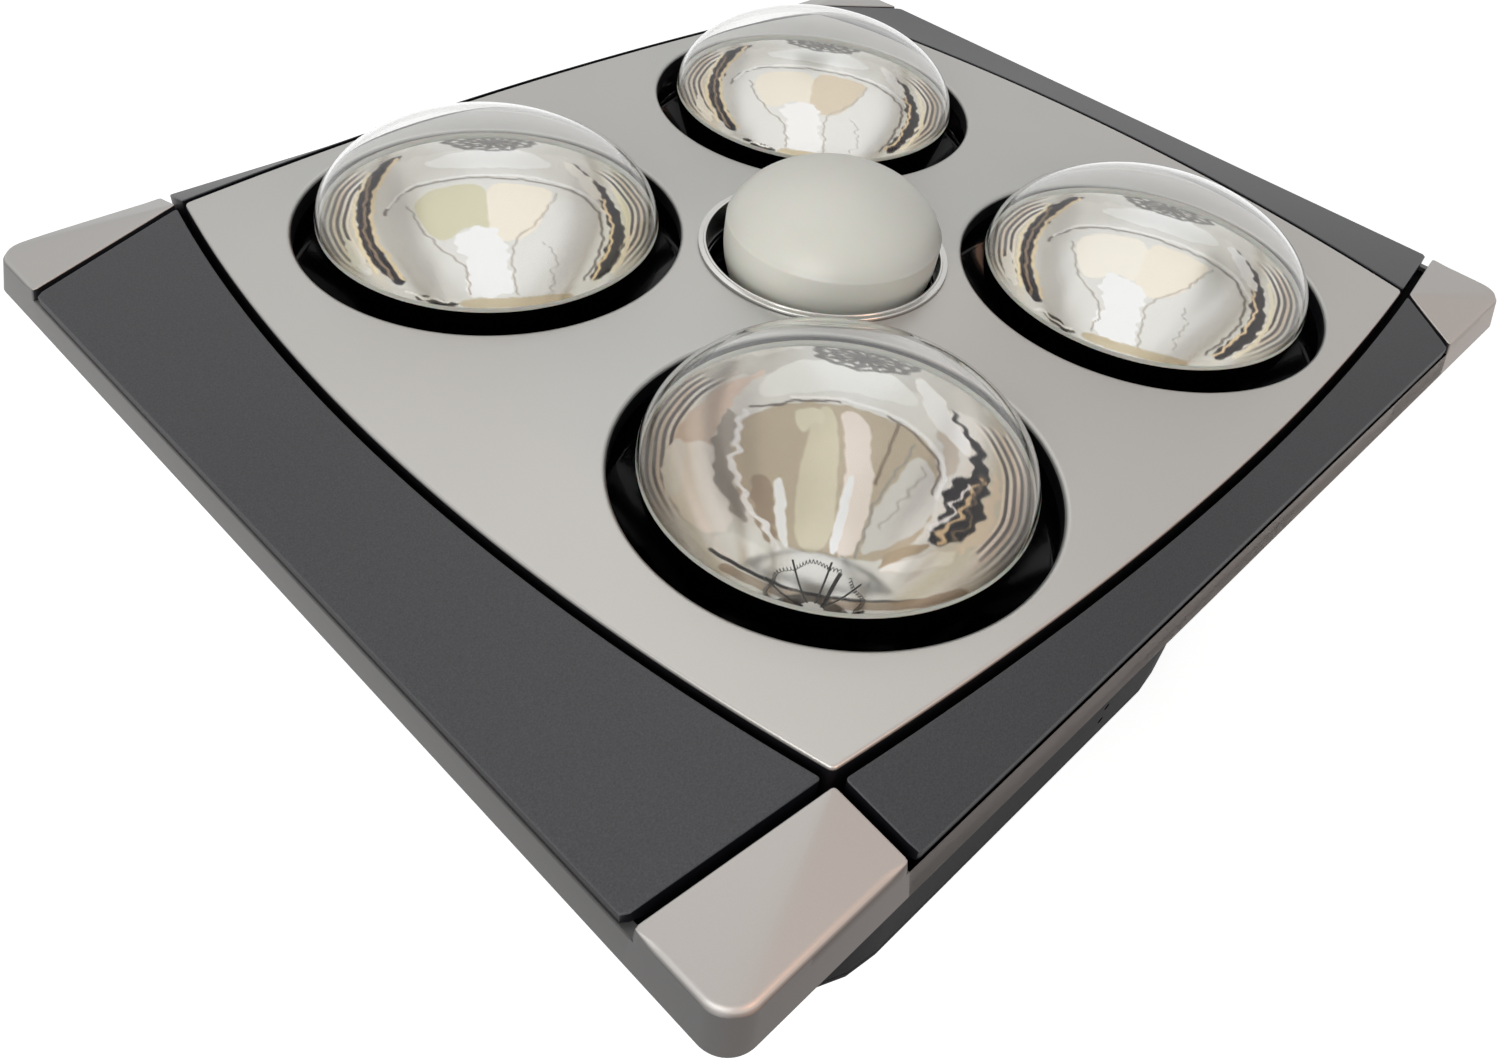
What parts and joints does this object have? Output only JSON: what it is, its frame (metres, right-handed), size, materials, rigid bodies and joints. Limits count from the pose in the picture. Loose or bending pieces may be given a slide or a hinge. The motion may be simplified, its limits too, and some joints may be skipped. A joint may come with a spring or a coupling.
{
  "type": "bathroom ceiling heater",
  "caption": "Recessed bathroom ceiling heater with reflector heat lamps round an opal lamp, a pull-off metal fascia, an exhaust fan and a side duct spigot with backdraught blades.",
  "frame": {"origin": "centre of the fascia's rectangle, on the plane of the rear cover", "axes": "+Z the way the lamps shine, which is down into the room in use; +X along the fascia's long side towards the duct spigot; the part lies on its rear face as pictured"},
  "size_m": [0.466, 0.3832, 0.2425],
  "materials": {
    "silver_paint": "satin silver paint",
    "gunmetal": "satin gunmetal, fine grain",
    "satin_silver": "fine satin silver",
    "bright_silver": "bright silver",
    "black_housing": "black powder coat",
    "black_plastic": "matt black",
    "gloss_black": "glossy black",
    "lamp_glass": "clear dome over a mirrored bowl",
    "opal_glass": "glossy opal",
    "lamp_brass": "bright",
    "tungsten": "dull wire",
    "ceramic": "glazed white",
    "grey_plastic": "moulded grey",
    "plain_steel": "zinc plated",
    "spring_steel": "bright spring steel"
  },
  "bodies": {
    "casing": {"housing": "black_housing", "rear_cover": "black_housing", "deck_plate": "black_housing", "lamp_well_front_left": "gloss_black", "lamp_well_front_right": "gloss_black", "lamp_well_back_left": "gloss_black", "lamp_well_back_right": "gloss_black", "centre_well": "gloss_black", "heat_lamp_glass_front_left": "lamp_glass", "heat_lamp_cap_front_left": "lamp_brass", "filament_front_left": "tungsten", "heat_lamp_glass_front_right": "lamp_glass", "heat_lamp_cap_front_right": "lamp_brass", "filament_front_right": "tungsten", "heat_lamp_glass_back_left": "lamp_glass", "heat_lamp_cap_back_left": "lamp_brass", "filament_back_left": "tungsten", "heat_lamp_glass_back_right": "lamp_glass", "heat_lamp_cap_back_right": "lamp_brass", "filament_back_right": "tungsten", "opal_lamp_glass": "opal_glass", "opal_lamp_cap": "lamp_brass", "lamp_holder_front_left": "ceramic", "lamp_holder_front_right": "ceramic", "lamp_holder_back_left": "ceramic", "lamp_holder_back_right": "ceramic", "lamp_holder_centre": "ceramic", "fan_scroll": "grey_plastic", "scroll_cover": "grey_plastic", "fan_motor": "plain_steel", "duct_spigot": "black_plastic", "damper_pin": "plain_steel", "terminal_box": "black_plastic", "terminal_cover": "black_plastic", "terminal_block": "ceramic", "cable_gland": "black_plastic", "deck_screw_front_left": "plain_steel", "deck_screw_front_right": "plain_steel", "deck_screw_back_left": "plain_steel", "deck_screw_back_right": "plain_steel"},
    "fascia": {"fascia_frame": "silver_paint", "side_panel_left": "gunmetal", "side_panel_right": "gunmetal", "side_panel_front": "gunmetal", "side_panel_back": "gunmetal", "centre_panel": "satin_silver", "light_ring": "bright_silver", "fascia_tray": "black_plastic", "fascia_clip_left": "spring_steel", "fascia_clip_right": "spring_steel", "fascia_clip_front": "spring_steel", "fascia_clip_back": "spring_steel"},
    "rotor": {"impeller": "black_plastic", "motor_shaft": "plain_steel"},
    "damper_right": {"damper_blade_right": "black_plastic", "damper_spring_right": "spring_steel"},
    "damper_left": {"damper_blade_left": "black_plastic", "damper_spring_left": "spring_steel"}
  },
  "joints": [
    {"name": "fascia_slide", "type": "slide", "parent": "casing", "child": "fascia", "axis": [0, 0, 1], "range_m": [0, 0.035]},
    {"name": "impeller_spin", "type": "hinge", "parent": "casing", "child": "rotor", "pos_m": [0, -0.028, 0.057], "axis": [0, 0, 1], "continuous": true},
    {"name": "damper_right_hinge", "type": "hinge", "parent": "casing", "child": "damper_right", "pos_m": [0.1723, 0.0276, 0.0574], "axis": [0, 0, -1], "range_deg": [0, 80], "stiffness_Nm_per_rad": 0.002, "springref_deg": -11.46},
    {"name": "damper_left_hinge", "type": "hinge", "parent": "casing", "child": "damper_left", "pos_m": [0.1723, 0.0276, 0.0574], "axis": [0, 0, 1], "range_deg": [0, 80], "stiffness_Nm_per_rad": 0.002, "springref_deg": -11.46}
  ]
}
